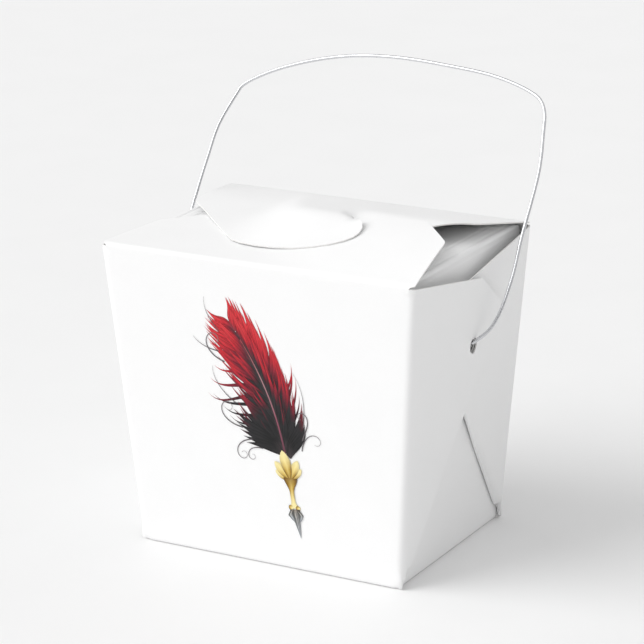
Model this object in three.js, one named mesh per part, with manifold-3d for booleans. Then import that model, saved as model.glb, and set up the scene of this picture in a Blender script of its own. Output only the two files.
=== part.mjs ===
// A small folded-paper favour box (an oyster pail) with a wire bail handle.
// Millimetres. +Z up, the printed wall faces -Y, +X to the right of it.
// The origin is the centre of the base, on the surface that the box stands on.
import * as THREE from 'three';
import { mergeVertices } from 'three/addons/utils/BufferGeometryUtils.js';
import Module from 'manifold-3d';

const wasm = await Module();
wasm.setup();

// ---- driving dimensions ------------------------------------------------------------------
const BASE_WIDTH = 86.4;          // base, along X
const BASE_DEPTH = 63.1;          // base, along Y
const MOUTH_WIDTH = 101.6;        // mouth, along X, over the corner webs
const MOUTH_DEPTH = 72.4;         // mouth, along Y
const WALL_HEIGHT = 90.3;         // upright height of the walls
const PAPER = 0.4;                // thickness of the board
const GAP = 0.3;                  // clearance between sheets that lie on each other

const WEB_FOLD_LEAN = 34.5;       // lean of a web's folded edge from upright, degrees
const WEB_TIP_DROP = 18.7;        // a web's free corner, below the mouth
const WEB_SHOULDER_REACH = 38;    // how far a web's upper edge runs before its chamfer
const WEB_SHOULDER_DROP = 7;      // how much that edge drops over its run
const SIDE_TOP_INSET = 3.5;       // how far a narrow wall's top stands inside the mouth
const SIDE_TOP_DROP = 0.6;        // how far a narrow wall's top lies below the mouth

const HOLE_RISE = 64.3;           // height of the handle holes
const HOLE_WIDTH = 3.2;           // handle hole, along Y
const HOLE_HEIGHT = 4.4;          // handle hole, along Z

const FRONT_FLAP_LENGTH = 37.5;   // crease to free edge
const FRONT_FLAP_SLOPE = 7.5;     // rise of the closed flap, degrees
const FRONT_FLAP_SHOULDER = 25.5; // crease to the corner where its chamfer starts
const BACK_FLAP_SHOULDER = 27;    // crease to the corner where its chamfer starts
const TONGUE_SETBACK = 9.4;       // tip of the tongue to the front crease
const BEND_SETBACK = 3.1;         // the back flap bends this far past the front flap's free edge
const LID_CLEARANCE = 0.8;        // the back flap over the front flap's free edge
const TONGUE_CLEARANCE = 1.3;     // the tip of the tongue over the front flap
const TONGUE_HALF_WIDTH = 15;     // half of the tongue where its rounded tip starts
const TONGUE_ROUNDING = 9;        // length of the rounded tip
const SHOULDER_TAPER = 4;         // how much a lid flap narrows, each side, up to its corner

const DUST_FLAP_LENGTH = 30;      // crease to free edge
const DUST_FLAP_DIP = 15;         // dip of the folded-in flap, degrees
const DUST_FLAP_TAPER = 15;       // how much it narrows, each side

const WIRE_DIAMETER = 1.0;
const HANDLE_LEAN = 36;           // lean of the handle towards the back wall, degrees
const HANDLE_CLEARANCE = 4.1;     // centre line of a leg to the side of the mouth
const HANDLE_REACH = 83.5;        // hole axis to the highest point of the handle
const LEG_START = 1.3;            // centre line of a leg to the web, where it leaves the hole
const HOOK_LENGTH = 5;            // the bent end inside the box
const HOOK_INSET = 2.4;           // hook's centre line to the wall's inner face
// Each bend of the handle, from its leg to its crown, as [inset from the leg, drop from the crown].
// The wire is bent by hand, so its left bend is lower and rounder than its right one.
const RIGHT_BEND = [[0, 30], [1.9, 18.5], [3.3, 12.2], [5.7, 8.5], [10, 6.1], [21.9, 2.7], [37.9, 0.9]];
const LEFT_BEND = [[0.9, 38.5], [1.6, 27.5], [4, 17.3], [6.3, 14.3], [12.7, 9.7], [25.4, 4.4], [39.9, 1]];

const WIRE_SIDES = 8;
const WIRE_STEPS = 120;
const ARC_STEPS = 12;             // segments of a rounded outline

// ---- derived places ----------------------------------------------------------------------
const LAYER = PAPER + GAP;
const baseX = BASE_WIDTH / 2;
const baseY = BASE_DEPTH / 2;
const mouthX = MOUTH_WIDTH / 2;
const mouthY = MOUTH_DEPTH / 2;
const rad = THREE.MathUtils.degToRad;
const flareX = (mouthX - baseX) / WALL_HEIGHT;
const flareY = (mouthY - baseY) / WALL_HEIGHT;
const webEdgeX = (z) => baseX + flareX * z;      // outer face of the webs' plane
const wallEdgeY = (z) => baseY + flareY * z;     // outer face of the wide walls
const sideStart = baseX - 2 * LAYER;             // outer face of a narrow wall at the base
const sideTopRise = WALL_HEIGHT - SIDE_TOP_DROP;
const sideFlare = (webEdgeX(sideTopRise) - SIDE_TOP_INSET - sideStart) / sideTopRise;
const sideFace = (z) => sideStart + sideFlare * z;
const hingeRise = WALL_HEIGHT + GAP;
const foldReach = Math.tan(rad(WEB_FOLD_LEAN));
const foldCrossRise = baseY / foldReach;         // where the folded edges of two webs cross
const webTipRise = WALL_HEIGHT - WEB_TIP_DROP;

// ---- materials ---------------------------------------------------------------------------
const paperMaterial = () => new THREE.MeshStandardMaterial({
  color: 0xfafafa, roughness: 0.55, metalness: 0,
});
const wireMaterial = () => new THREE.MeshStandardMaterial({
  color: 0xc4c8cf, roughness: 0.25, metalness: 1,
});

const box = new THREE.Group();

function addPiece(name, geometry, material = paperMaterial()) {
  const mesh = new THREE.Mesh(geometry, material);
  mesh.name = name;
  box.add(mesh);
  return mesh;
}

// ---- sheet helpers -----------------------------------------------------------------------
// A flat sheet of board. Its outline is given in (u, v), its thickness lies along w, and
// lift(u, v) says how far its first face stands along w. toWorld turns (u, v, w) into (x, y, z).
function sheet(outline, lift, toWorld, hole = null) {
  const shape = new THREE.Shape(outline.map(([u, v]) => new THREE.Vector2(u, v)));
  if (hole) {
    const rim = new THREE.Path();
    rim.absellipse(hole.u, hole.v, hole.width / 2, hole.height / 2, 0, 2 * Math.PI, true, 0);
    shape.holes.push(rim);
  }
  const geometry = new THREE.ExtrudeGeometry(shape, {
    depth: PAPER, bevelEnabled: false, curveSegments: ARC_STEPS,
  });
  const position = geometry.attributes.position;
  for (let i = 0; i < position.count; i += 1) {
    const u = position.getX(i);
    const v = position.getY(i);
    const w = position.getZ(i) + lift(u, v);
    const point = toWorld(u, v, w);
    position.setXYZ(i, point[0], point[1], point[2]);
  }
  return facingOut(geometry);
}

function signedVolume(geometry) {
  const solid = geometry.index ? geometry.toNonIndexed() : geometry;
  const position = solid.attributes.position;
  const a = new THREE.Vector3();
  const b = new THREE.Vector3();
  const c = new THREE.Vector3();
  let sum = 0;
  for (let i = 0; i < position.count; i += 3) {
    a.fromBufferAttribute(position, i);
    b.fromBufferAttribute(position, i + 1);
    c.fromBufferAttribute(position, i + 2);
    sum += a.dot(b.cross(c)) / 6;
  }
  return sum;
}

// A mirrored sheet has its triangles wound the other way, so they are turned back.
function facingOut(geometry) {
  const solid = geometry.index ? geometry.toNonIndexed() : geometry;
  if (signedVolume(solid) < 0) {
    const position = solid.attributes.position;
    for (let i = 0; i < position.count; i += 3) {
      const b = new THREE.Vector3().fromBufferAttribute(position, i + 1);
      const c = new THREE.Vector3().fromBufferAttribute(position, i + 2);
      position.setXYZ(i + 1, c.x, c.y, c.z);
      position.setXYZ(i + 2, b.x, b.y, b.z);
    }
  }
  solid.computeVertexNormals();
  return solid;
}

function toSolid(geometry) {
  const bare = facingOut(geometry).clone();
  bare.deleteAttribute('normal');
  bare.deleteAttribute('uv');
  const merged = mergeVertices(bare, 1e-5);
  return new wasm.Manifold(new wasm.Mesh({
    numProp: 3,
    vertProperties: new Float32Array(merged.attributes.position.array),
    triVerts: new Uint32Array(merged.index.array),
  }));
}

function toGeometry(solid) {
  const mesh = solid.getMesh();
  const geometry = new THREE.BufferGeometry();
  geometry.setAttribute('position', new THREE.BufferAttribute(new Float32Array(mesh.vertProperties), 3));
  geometry.setIndex(new THREE.BufferAttribute(new Uint32Array(mesh.triVerts), 1));
  geometry.computeVertexNormals();
  return geometry;
}

// ---- base and wide walls -----------------------------------------------------------------
function makeBase() {
  const halfWidth = sideStart - PAPER - GAP;
  const halfDepth = baseY - PAPER - GAP;
  const outline = [
    [-halfWidth, -halfDepth], [halfWidth, -halfDepth],
    [halfWidth, halfDepth], [-halfWidth, halfDepth],
  ];
  addPiece('bottom_panel', sheet(outline, () => 0, (u, v, w) => [u, v, w]));
}

// facing is -1 for the front wall and +1 for the back wall.
function makeWideWall(name, facing) {
  const outline = [[-baseX, 0], [baseX, 0], [mouthX, WALL_HEIGHT], [-mouthX, WALL_HEIGHT]];
  const innerFace = (x, z) => wallEdgeY(z) - PAPER;
  addPiece(name, sheet(outline, innerFace, (x, z, depth) => [x, facing * depth, z]));
}

// ---- narrow walls and corner webs --------------------------------------------------------
const handleHole = { u: 0, v: HOLE_RISE, width: HOLE_WIDTH, height: HOLE_HEIGHT };

// side is +1 for the right and -1 for the left.
function makeNarrowWall(name, side) {
  const bottomY = baseY - LAYER;
  const topY = wallEdgeY(sideTopRise) - LAYER;
  const outline = [[-bottomY, 0], [bottomY, 0], [topY, sideTopRise], [-topY, sideTopRise]];
  const innerFace = (y, z) => sideFace(z) - PAPER;
  addPiece(name, sheet(outline, innerFace, (y, z, x) => [side * x, y, z], handleHole));
}

// The tilt that keeps the four leaves apart where two webs cross over the middle of the wall.
const webTilt = LAYER / wallEdgeY(foldCrossRise);

// One leaf of a corner web: a triangle folded flat against the narrow wall, hinged on a wide wall.
// end is -1 where the web starts at the front wall and +1 at the back; over says whether this web
// lies over the other one; leaf is 0 for the outer and 1 for the inner leaf.
function makeWebLeaf(name, side, end, over, leaf) {
  const setback = leaf * LAYER;
  const edgeY = (z) => wallEdgeY(z) - LAYER - setback;
  const topRise = WALL_HEIGHT - GAP;
  const startRise = (LAYER + setback) / foldReach;
  const fold = (z) => baseY - foldReach * z;
  const shoulderRise = topRise - WEB_SHOULDER_DROP;
  const outline = [
    [edgeY(startRise), startRise],
    [edgeY(topRise), topRise],
    [edgeY(topRise) - WEB_SHOULDER_REACH + setback, shoulderRise],
    [fold(webTipRise) + setback, webTipRise],
  ];
  const lean = over ? webTilt : -webTilt;
  const face = (y, z) => webEdgeX(z) + lean * (wallEdgeY(z) - y) - setback - PAPER;
  addPiece(name, sheet(outline, face, (y, z, x) => [side * x, end * y, z], handleHole));
}

function makeWebs() {
  const corners = [
    { name: 'front_right', side: 1, end: -1, over: true },
    { name: 'back_right', side: 1, end: 1, over: false },
    { name: 'front_left', side: -1, end: -1, over: true },
    { name: 'back_left', side: -1, end: 1, over: false },
  ];
  for (const corner of corners) {
    makeWebLeaf(`${corner.name}_web_outer`, corner.side, corner.end, corner.over, 0);
    makeWebLeaf(`${corner.name}_web_inner`, corner.side, corner.end, corner.over, 1);
  }
}

// ---- lid flaps ---------------------------------------------------------------------------
// Rises are measured from the height of the two creases.
const frontFlapRise = (y) => (y + mouthY) * Math.tan(rad(FRONT_FLAP_SLOPE));

function makeFrontFlap() {
  const root = mouthX - GAP;
  const shoulder = root - SHOULDER_TAPER;
  const tip = shoulder - (FRONT_FLAP_LENGTH - FRONT_FLAP_SHOULDER);
  const outline = [
    [-root, 0], [root, 0], [shoulder, FRONT_FLAP_SHOULDER], [tip, FRONT_FLAP_LENGTH],
    [-tip, FRONT_FLAP_LENGTH], [-shoulder, FRONT_FLAP_SHOULDER],
  ];
  const underside = (x, v) => hingeRise + frontFlapRise(v - mouthY);
  addPiece('front_lid_flap', sheet(outline, underside, (x, v, z) => [x, v - mouthY, z]));
}

// The back flap lies over the front flap and bends down across its middle, so its side profile
// is cut to its outline. Distances along it are measured from the back crease.
function makeBackFlap() {
  const root = mouthX - GAP;
  const shoulder = root - SHOULDER_TAPER;
  const length = MOUTH_DEPTH - TONGUE_SETBACK;
  const tongueStart = length - TONGUE_ROUNDING;
  const edgeRun = MOUTH_DEPTH - FRONT_FLAP_LENGTH;
  const edgeRise = frontFlapRise(mouthY - edgeRun) + PAPER + LID_CLEARANCE;
  const bendRun = edgeRun + BEND_SETBACK;
  const bendRise = bendRun * edgeRise / edgeRun;
  const tipRise = frontFlapRise(mouthY - length) + PAPER + TONGUE_CLEARANCE;

  const profile = new THREE.Shape();
  profile.moveTo(0, 0);
  profile.lineTo(bendRun, bendRise);
  profile.lineTo(length, tipRise);
  profile.lineTo(length, tipRise + PAPER);
  profile.lineTo(bendRun, bendRise + PAPER);
  profile.lineTo(0, PAPER);
  profile.closePath();
  const strip = new THREE.ExtrudeGeometry(profile, { depth: 2 * mouthX, bevelEnabled: false });
  strip.translate(0, 0, -mouthX);
  strip.rotateX(Math.PI / 2);
  strip.rotateZ(-Math.PI / 2);

  const outline = new THREE.Shape();
  outline.moveTo(-root, 0);
  outline.lineTo(root, 0);
  outline.lineTo(shoulder, -BACK_FLAP_SHOULDER);
  outline.lineTo(TONGUE_HALF_WIDTH, -tongueStart);
  outline.absellipse(0, -tongueStart, TONGUE_HALF_WIDTH, TONGUE_ROUNDING, 0, -Math.PI, true, 0);
  outline.lineTo(-shoulder, -BACK_FLAP_SHOULDER);
  outline.closePath();
  const cutter = new THREE.ExtrudeGeometry(outline, {
    depth: 4 * bendRise, bevelEnabled: false, curveSegments: ARC_STEPS,
  });
  cutter.translate(0, 0, -bendRise);

  const flap = toGeometry(toSolid(strip).intersect(toSolid(cutter)));
  flap.translate(0, mouthY, hingeRise);
  addPiece('back_lid_flap', flap);
}

function makeDustFlap(name, side) {
  const rootY = wallEdgeY(sideTopRise) - 2 * LAYER;
  const tipY = rootY - DUST_FLAP_TAPER;
  const run = DUST_FLAP_LENGTH * Math.cos(rad(DUST_FLAP_DIP));
  const hingeX = sideFace(sideTopRise) - PAPER / 2;
  const outline = [[hingeX, -rootY], [hingeX, rootY], [hingeX - run, tipY], [hingeX - run, -tipY]];
  const fall = (x) => (hingeX - x) * Math.tan(rad(DUST_FLAP_DIP));
  const underside = (x) => sideTopRise + GAP / 2 + PAPER / 2 - fall(x);
  addPiece(name, sheet(outline, underside, (x, y, z) => [side * x, y, z]));
}

// ---- wire handle -------------------------------------------------------------------------
// Points are [x, reach]: reach is measured from the hole axis, in the plane that leans back.
function handleLeg(bend) {
  const legX = mouthX + HANDLE_CLEARANCE;
  const hookX = sideFace(HOLE_RISE) - PAPER - HOOK_INSET;
  const hook = [
    [hookX, -HOOK_LENGTH],
    [hookX, -0.4 * HOOK_LENGTH],
    [hookX + 0.5, -0.1 * HOOK_LENGTH],
    [hookX + HOOK_INSET, 0],
  ];
  const leg = [
    [webEdgeX(HOLE_RISE) + LEG_START, 0],
    [legX - 2.2, 2.2],
    [legX - 0.2, 8],
    [legX + 0.5, 16],
    [legX + 0.2, 30],
  ];
  const crown = bend.map(([inset, drop]) => [legX - inset, HANDLE_REACH - drop]);
  return [...hook, ...leg, ...crown];
}

function makeHandle() {
  const left = handleLeg(LEFT_BEND).map(([x, reach]) => [-x, reach]);
  const right = handleLeg(RIGHT_BEND).reverse();
  const route = [...left, [0, HANDLE_REACH], ...right];
  const lean = rad(HANDLE_LEAN);
  const points = route.map(([x, reach]) => new THREE.Vector3(
    x,
    reach * Math.sin(lean),
    HOLE_RISE + reach * Math.cos(lean),
  ));
  const path = new THREE.CatmullRomCurve3(points, false, 'centripetal');
  const section = new THREE.Shape();
  section.absarc(0, 0, WIRE_DIAMETER / 2, 0, 2 * Math.PI, false);
  const tube = new THREE.ExtrudeGeometry(section, {
    steps: WIRE_STEPS, curveSegments: WIRE_SIDES / 2, extrudePath: path, bevelEnabled: false,
  });
  addPiece('wire_handle', facingOut(tube), wireMaterial());
}

makeBase();
makeWideWall('front_panel', -1);
makeWideWall('back_panel', 1);
makeNarrowWall('right_panel', 1);
makeNarrowWall('left_panel', -1);
makeWebs();
makeFrontFlap();
makeBackFlap();
makeDustFlap('right_dust_flap', 1);
makeDustFlap('left_dust_flap', -1);
makeHandle();

export default box;
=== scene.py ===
import math

import bpy
import numpy as np
from mathutils import Matrix, Vector, geometry


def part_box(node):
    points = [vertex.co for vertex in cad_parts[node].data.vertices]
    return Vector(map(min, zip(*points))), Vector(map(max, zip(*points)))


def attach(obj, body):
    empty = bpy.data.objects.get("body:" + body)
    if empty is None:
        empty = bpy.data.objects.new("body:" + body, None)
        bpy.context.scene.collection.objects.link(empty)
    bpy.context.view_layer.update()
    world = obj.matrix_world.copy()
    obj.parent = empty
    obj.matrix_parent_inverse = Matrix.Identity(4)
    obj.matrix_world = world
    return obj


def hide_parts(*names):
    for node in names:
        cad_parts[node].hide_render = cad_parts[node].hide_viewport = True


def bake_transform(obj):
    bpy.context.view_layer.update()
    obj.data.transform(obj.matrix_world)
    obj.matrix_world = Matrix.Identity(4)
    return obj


# A folded-paper favour box with a wire bail handle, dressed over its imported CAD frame.
# Shapes are worked out in millimetres and turned into metres where a mesh is made.

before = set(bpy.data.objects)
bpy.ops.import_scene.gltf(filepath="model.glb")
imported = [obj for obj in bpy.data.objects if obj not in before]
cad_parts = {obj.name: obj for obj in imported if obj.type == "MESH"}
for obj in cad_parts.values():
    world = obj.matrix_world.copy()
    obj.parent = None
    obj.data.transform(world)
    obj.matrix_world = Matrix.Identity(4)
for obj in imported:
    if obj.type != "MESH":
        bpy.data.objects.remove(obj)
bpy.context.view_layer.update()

MM = 0.001
PAPER = 0.4                      # thickness of the board
LAYER = 0.7                      # board and the air between two leaves
HALF = PAPER / 2

lo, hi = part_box("front_panel")
MOUTH_X, MOUTH_Y, WALL_H = hi[0] / MM, -lo[1] / MM, hi[2] / MM
BASE_Y = -hi[1] / MM + PAPER
BASE_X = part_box("bottom_panel")[1][0] / MM + 3 * LAYER
FLARE_X = (MOUTH_X - BASE_X) / WALL_H
FLARE_Y = (MOUTH_Y - BASE_Y) / WALL_H
SIDE_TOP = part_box("right_panel")[1][2] / MM
SIDE_TOP_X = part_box("right_panel")[1][0] / MM
SIDE_START = BASE_X - 2 * LAYER
FLARE_SIDE = (SIDE_TOP_X - SIDE_START) / SIDE_TOP
HOLE_RISE = 64.3                 # the handle's holes
HOLE_A, HOLE_B = 1.9, 2.35       # half width and half height of a hole
HOLE_SHIFT, HOLE_DROP = -0.7, 0.7  # the wire bears on the upper rear of each hole
FOLD_REACH = math.tan(math.radians(34.5))
WEB_TILT = LAYER / (BASE_Y + FLARE_Y * BASE_Y / FOLD_REACH)
WEB_TIP = WALL_H - 18.7
LID_REACH = 2 * MOUTH_Y          # from one lid crease to the other

edge_x = lambda z: BASE_X + FLARE_X * z
wall_y = lambda z: BASE_Y + FLARE_Y * z
side_x = lambda z: SIDE_START + FLARE_SIDE * z


# ---- small helpers ------------------------------------------------------------------------
def smoothstep(a, b, x):
    t = np.clip((x - a) / (b - a), 0, 1)
    return t * t * (3 - 2 * t)


def smooth_min(a, b, k):
    h = np.clip(0.5 + 0.5 * (b - a) / k, 0, 1)
    return b * (1 - h) + a * h - k * h * (1 - h)


def smooth_max(a, b, k):
    return -smooth_min(-a, -b, k)


def hump(x, centre, width):
    return np.exp(-((x - centre) / width) ** 2)


def ripple(u, v, seed):
    """A slow, deterministic unevenness, about -1 to 1."""
    rng = np.random.default_rng(seed)
    total = np.zeros_like(u)
    for _ in range(5):
        angle, wave, phase = rng.uniform(0, math.pi), rng.uniform(26, 70), rng.uniform(0, 2 * math.pi)
        total = total + np.sin((u * math.cos(angle) + v * math.sin(angle)) * 2 * math.pi / wave + phase)
    return total / 3.2


def bend(d, reach, before, after, corner):
    """Where a sheet lies at distance d from a crease: along before, round the crease, along after."""
    t = np.clip((d + reach) / (2 * reach), 0, 1)
    out = []
    for a, b, c in zip(before, after, corner):
        low, high = c + a * reach, c + b * reach
        arc = (1 - t) ** 2 * low + 2 * t * (1 - t) * c + t * t * high
        out.append(np.where(d < -reach, c - a * d, np.where(d > reach, c + b * d, arc)))
    return out


# ---- sheet meshes -------------------------------------------------------------------------
SLIVER = 0.02                    # triangles lower than this are dropped
WELD = 0.01                      # points of two charts in one cell of this size are joined
CHART_PITCH = 160.0              # charts lie this far apart in the flat texture


def mirrored(points):
    """Points on the other side of the middle line, in the order that carries an outline on."""
    return [(-x, v) for x, v in reversed(points)]


def along(points, step):
    """A closed outline with extra points, no further apart than step."""
    out = []
    for a, b in zip(points, points[1:] + points[:1]):
        n = max(1, int(math.ceil(math.dist(a, b) / step)))
        out += [(a[0] + (b[0] - a[0]) * i / n, a[1] + (b[1] - a[1]) * i / n) for i in range(n)]
    return out


def inside(px, py, loop):
    """Which points lie in a closed outline."""
    found = np.zeros(len(px), bool)
    for (ax, ay), (bx, by) in zip(loop, loop[1:] + loop[:1]):
        if ay == by:
            continue
        cross = (ay > py) != (by > py)
        found ^= cross & (px < (bx - ax) * (py - ay) / (by - ay) + ax)
    return found


def near(px, py, loop, gap):
    """Which points lie closer than gap to an outline."""
    found = np.zeros(len(px), bool)
    for (ax, ay), (bx, by) in zip(loop, loop[1:] + loop[:1]):
        dx, dy = bx - ax, by - ay
        t = np.clip(((px - ax) * dx + (py - ay) * dy) / max(dx * dx + dy * dy, 1e-12), 0, 1)
        found |= np.hypot(px - ax - t * dx, py - ay - t * dy) < gap
    return found


class Chart:
    """One flat-cut region of board: its outline, its holes, rows of points along its creases, and
    place(u, v), which says where the middle of the board lies. face is +1 where u, v and the
    outer side make a right-handed set, and -1 where they make a left-handed one."""

    def __init__(self, place, face, outline, holes=(), rows=(), step=2.6, edge_step=2.0):
        loop = along(outline, edge_step)
        lows, highs = np.min(loop, 0), np.max(loop, 0)
        gu, gv = np.meshgrid(
            np.arange(lows[0] + step / 2, highs[0], step), np.arange(lows[1] + step / 2, highs[1], step)
        )
        gu = gu + (np.arange(gu.shape[0])[:, None] % 2) * step / 2
        gu, gv = gu.ravel(), gv.ravel()
        keep = inside(gu, gv, loop) & ~near(gu, gv, loop, step * 0.4)
        for hole in holes:
            keep &= ~inside(gu, gv, hole) & ~near(gu, gv, hole, step * 0.3)
        verts, edges = [], []

        def line(points, closed):
            first = len(verts)
            verts.extend(points)
            n = len(points)
            edges.extend((first + i, first + (i + 1) % n) for i in range(n if closed else n - 1))

        line(loop, True)
        for hole in holes:
            line(hole, True)
        taken = np.zeros(len(gu), bool)
        for row in rows:
            line(row, False)
            taken |= near(gu, gv, row + row[::-1], step * 0.3)
        verts.extend(zip(gu[keep & ~taken], gv[keep & ~taken]))
        made = geometry.delaunay_2d_cdt([Vector((float(a), float(b))) for a, b in verts], edges, [], 0, 1e-5)
        uv = np.array([tuple(p) for p in made[0]])
        tris = np.array([list(f) for f in made[2]])
        area = np.cross(uv[tris[:, 1]] - uv[tris[:, 0]], uv[tris[:, 2]] - uv[tris[:, 0]])
        spans = [uv[tris[:, k]] - uv[tris[:, (k + 1) % 3]] for k in range(3)]
        longest = np.max([np.linalg.norm(span, axis=1) for span in spans], 0)
        tris = np.where((area > 0)[:, None], tris, tris[:, ::-1])[np.abs(area) > SLIVER * longest]
        cu, cv = uv[tris].mean(1).T
        keep = inside(cu, cv, loop)
        for hole in holes:
            keep &= ~inside(cu, cv, hole)
        tris = tris[keep]
        used = np.unique(tris)
        renumber = np.zeros(len(uv), int)
        renumber[used] = np.arange(len(used))
        self.uv, self.tris = uv[used], renumber[tris]
        if face < 0:
            self.tris = self.tris[:, ::-1]
        u, v = self.uv.T
        self.points = np.stack(place(u, v), 1)
        e = 0.004
        du = np.stack(place(u + e, v), 1) - np.stack(place(u - e, v), 1)
        dv = np.stack(place(u, v + e), 1) - np.stack(place(u, v - e), 1)
        normal = np.cross(du, dv) * face
        self.normals = normal / np.maximum(np.linalg.norm(normal, axis=1), 1e-12)[:, None]


def sheet(name, charts, materials, half=HALF):
    """A board piece. The charts are joined where their edges meet, and given thickness and cut edges."""
    points = np.concatenate([c.points for c in charts])
    normals = np.concatenate([c.normals for c in charts])
    flat = np.concatenate([c.uv + np.array([CHART_PITCH * i, 0]) for i, c in enumerate(charts)])
    start = np.cumsum([0] + [len(c.points) for c in charts])
    tris = np.concatenate([c.tris + s for c, s in zip(charts, start)])
    key, where = {}, np.zeros(len(points), int)
    for i, p in enumerate(np.round(points / WELD).astype(int)):
        k = tuple(p)
        chart = int(np.searchsorted(start, i, side="right"))
        hit = key.get(k)
        if hit is not None and hit[1] != chart and normals[hit[0]] @ normals[i] > 0.5:
            where[i] = hit[0]
        else:
            where[i] = i
            key.setdefault(k, (i, chart))
    tris_w = where[tris]
    total = normals.copy()
    for i, w in enumerate(where):
        if w != i:
            total[w] += normals[i]
    total /= np.linalg.norm(total, axis=1)[:, None]
    n = len(points)
    verts = np.concatenate([points + total * half, points - total * half]) * MM
    sides = {}
    for t in range(len(tris_w)):
        for k in range(3):
            a, b = int(tris_w[t, k]), int(tris_w[t, (k + 1) % 3])
            sides[(a, b)] = (int(tris[t, k]), int(tris[t, (k + 1) % 3]))
    rims = [(a, b, f) for (a, b), f in sides.items() if (b, a) not in sides]
    faces = [tuple(map(int, t)) for t in tris_w] + [tuple(int(x) + n for x in t[::-1]) for t in tris_w]
    uvs = [tuple(map(int, t)) for t in tris] + [tuple(map(int, t[::-1])) for t in tris]
    slots = [0] * len(tris_w) + [1] * len(tris_w)
    # the cut edge has its own vertices, so that it is shaded as a sharp edge
    ring, extra = {}, []
    for a, b, _ in rims:
        for k in (a, b):
            if k not in ring:
                ring[k] = 2 * n + len(extra)
                extra += [verts[k], verts[k + n]]
    verts = np.concatenate([verts, np.array(extra).reshape(-1, 3)])
    for a, b, f in rims:
        faces.append((ring[b], ring[a], ring[a] + 1, ring[b] + 1))
        uvs.append((f[1], f[0], f[0], f[1]))
        slots.append(2)
    mesh = bpy.data.meshes.new(name)
    mesh.from_pydata([tuple(v) for v in verts], [], faces)
    layer = mesh.uv_layers.new(name="flat")
    loops = np.concatenate([flat[list(u)] for u in uvs]) / 100.0
    layer.data.foreach_set("uv", loops.astype(np.float32).ravel())
    mesh.polygons.foreach_set("material_index", slots)
    mesh.polygons.foreach_set("use_smooth", [True] * len(faces))
    for m in materials:
        mesh.materials.append(m)
    mesh.validate()
    obj = bpy.data.objects.new(name, mesh)
    bpy.context.collection.objects.link(obj)
    return obj


# ---- material helpers ---------------------------------------------------------------------
class Nodes:
    """A short way to write a node material."""

    def __init__(self, name):
        self.mat = bpy.data.materials.new(name)
        self.mat.use_nodes = True
        self.tree = self.mat.node_tree
        self.bsdf = self.tree.nodes["Principled BSDF"]

    def add(self, kind, **settings):
        node = self.tree.nodes.new(kind)
        for k, v in settings.items():
            setattr(node, k, v)
        return node

    def link(self, a, b):
        self.tree.links.new(a, b)

    def coords(self, what="UV", scale=(1, 1, 1)):
        source = self.add("ShaderNodeTexCoord")
        mapping = self.add("ShaderNodeMapping")
        mapping.inputs["Scale"].default_value = scale
        self.link(source.outputs[what], mapping.inputs["Vector"])
        return mapping.outputs["Vector"]

    def noise(self, vector, scale, detail=3.0, roughness=0.5, distortion=0.0):
        node = self.add("ShaderNodeTexNoise")
        node.inputs["Scale"].default_value = scale
        node.inputs["Detail"].default_value = detail
        node.inputs["Roughness"].default_value = roughness
        node.inputs["Distortion"].default_value = distortion
        self.link(vector, node.inputs["Vector"])
        return node.outputs["Fac"]

    def ranged(self, value, low, high, start=0.3, end=0.7):
        node = self.add("ShaderNodeMapRange")
        for key, number in (("From Min", start), ("From Max", end), ("To Min", low), ("To Max", high)):
            node.inputs[key].default_value = number
        self.link(value, node.inputs["Value"])
        return node.outputs["Result"]

    def math(self, kind, a, b):
        node = self.add("ShaderNodeMath", operation=kind)
        for socket, x in zip(node.inputs, (a, b)):
            if isinstance(x, (int, float)):
                socket.default_value = x
            else:
                self.link(x, socket)
        return node.outputs[0]

    def ramp(self, value, stops):
        node = self.add("ShaderNodeValToRGB")
        band = node.color_ramp
        while len(band.elements) < len(stops):
            band.elements.new(0.5)
        for element, (place, colour) in zip(band.elements, stops):
            element.position = place
            element.color = (*colour, 1)
        self.link(value, node.inputs["Fac"])
        return node.outputs["Color"]

    def mix(self, factor, a, b, blend="MIX"):
        node = self.add("ShaderNodeMix", data_type="RGBA", blend_type=blend)
        for socket, x in ((node.inputs[0], factor), (node.inputs[6], a), (node.inputs[7], b)):
            if isinstance(x, (int, float)):
                socket.default_value = x
            elif isinstance(x, tuple):
                socket.default_value = (*x, 1)
            else:
                self.link(x, socket)
        return node.outputs[2]

    def bump(self, layers):
        """layers are (height, distance in metres, strength)."""
        last = None
        for height, distance, strength in layers:
            node = self.add("ShaderNodeBump")
            node.inputs["Distance"].default_value = distance
            node.inputs["Strength"].default_value = strength
            self.link(height, node.inputs["Height"])
            if last is not None:
                self.link(last, node.inputs["Normal"])
            last = node.outputs["Normal"]
        self.link(last, self.bsdf.inputs["Normal"])

    def surface(self, colour=None, roughness=None, **fixed):
        if colour is not None:
            self.link(colour, self.bsdf.inputs["Base Color"])
        if roughness is not None:
            self.link(roughness, self.bsdf.inputs["Roughness"])
        for key, value in fixed.items():
            self.bsdf.inputs[key.replace("_", " ")].default_value = value
        return self.mat


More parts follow.
